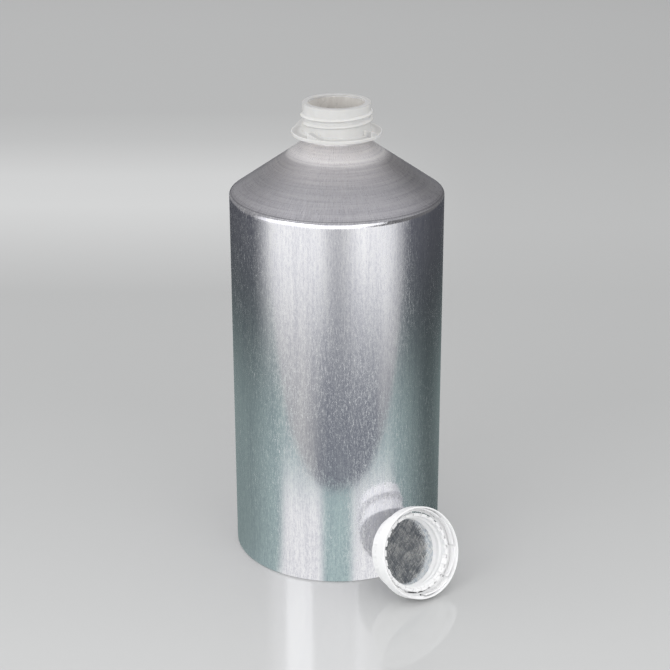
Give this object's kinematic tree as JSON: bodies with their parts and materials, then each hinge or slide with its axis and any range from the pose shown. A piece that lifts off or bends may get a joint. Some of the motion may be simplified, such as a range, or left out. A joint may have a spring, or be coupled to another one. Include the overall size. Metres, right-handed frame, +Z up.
{
  "type": "aluminium bottle",
  "caption": "Tall cylindrical aluminium bottle with a conical shoulder, threaded plastic neck ring with ratchet flange, and its tamper-evident screw cap lying beside it.",
  "frame": {"origin": "centre of the circle on which the bottle stands", "axes": "+Z up along the bottle's axis; the bottle's front faces -Y and the cap lies towards +X, -Y"},
  "size_m": [0.1713, 0.2009, 0.3544],
  "materials": {
    "bare_aluminium": "satin, drawn lengthwise on the wall and turned on the shoulder",
    "natural_plastic": "moulded, slightly translucent",
    "white_plastic": "moulded, semi-gloss",
    "foil_liner": "foam disc faced with scratched metal foil"
  },
  "bodies": {
    "root": {"bottle_body": "bare_aluminium", "neck_ring": "natural_plastic", "screw_cap": "white_plastic", "sealing_disc": "foil_liner"}
  },
  "joints": []
}
